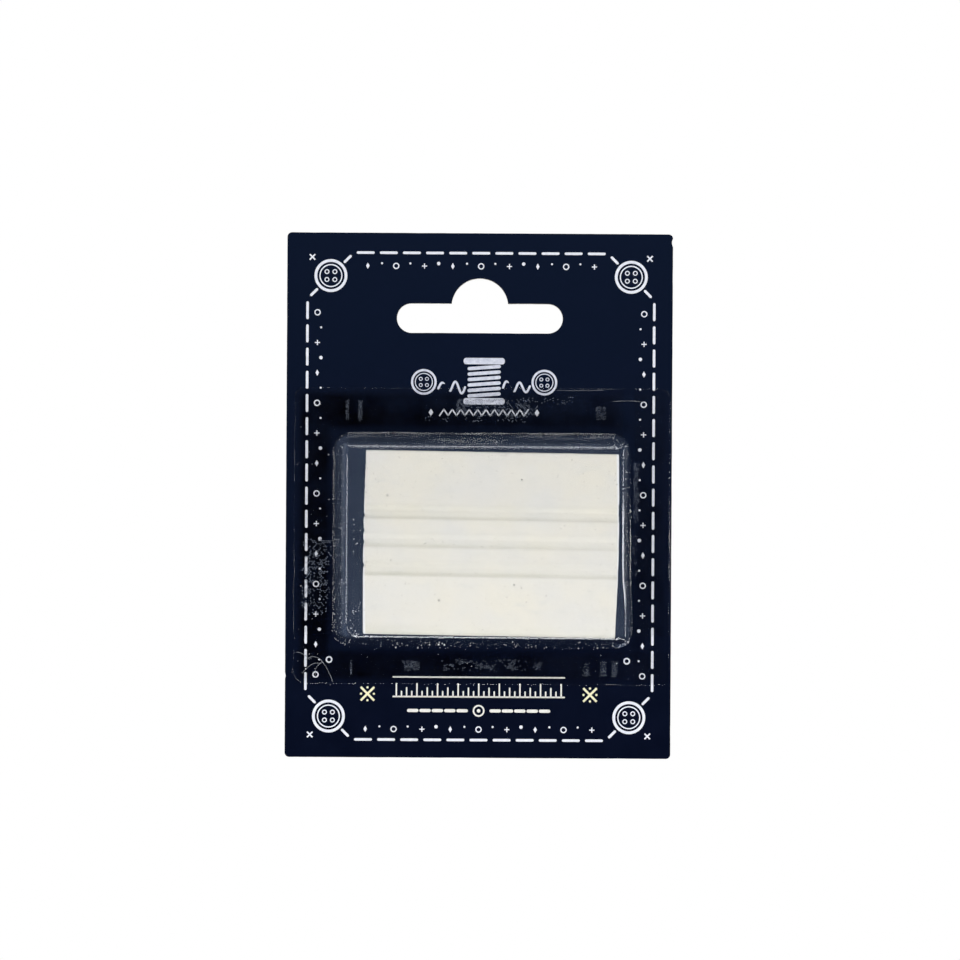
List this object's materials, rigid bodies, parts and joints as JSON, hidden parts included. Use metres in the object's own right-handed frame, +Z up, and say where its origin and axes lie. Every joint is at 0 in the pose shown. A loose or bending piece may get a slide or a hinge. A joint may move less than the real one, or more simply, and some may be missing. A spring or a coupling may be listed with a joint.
{
  "type": "carded tailors chalk",
  "caption": "Grooved plate of white tailor's chalk, loose in a clear formed pocket that is heat-sealed to a navy hanging card with a round-arched hang slot.",
  "frame": {"origin": "centre of the straight part of the hang slot, on the back face of the card", "axes": "+Z up the card, +X to the right as the front is seen, +Y out of the back of the card; the front faces -Y"},
  "size_m": [0.075, 0.0086, 0.1019],
  "materials": {
    "card_board": "printed navy on the front, coated, semi-gloss; uncoated grey-white back and edges",
    "seal_lacquer": "thin clear heat-seal lacquer, milky where the sealing tool pressed it",
    "clear_film": "clear glossy formed film",
    "chalk": "matt, pressed mineral chalk, off-white"
  },
  "bodies": {
    "pack": {"backing_card": "card_board", "seal_ring": "seal_lacquer", "blister": "clear_film"},
    "loose_chalk": {"chalk": "chalk"}
  },
  "joints": [
    {"name": "chalk_slide", "type": "slide", "parent": "pack", "child": "loose_chalk", "axis": [1, 0, 0], "range_m": [-0.0038, 0.0003]}
  ]
}
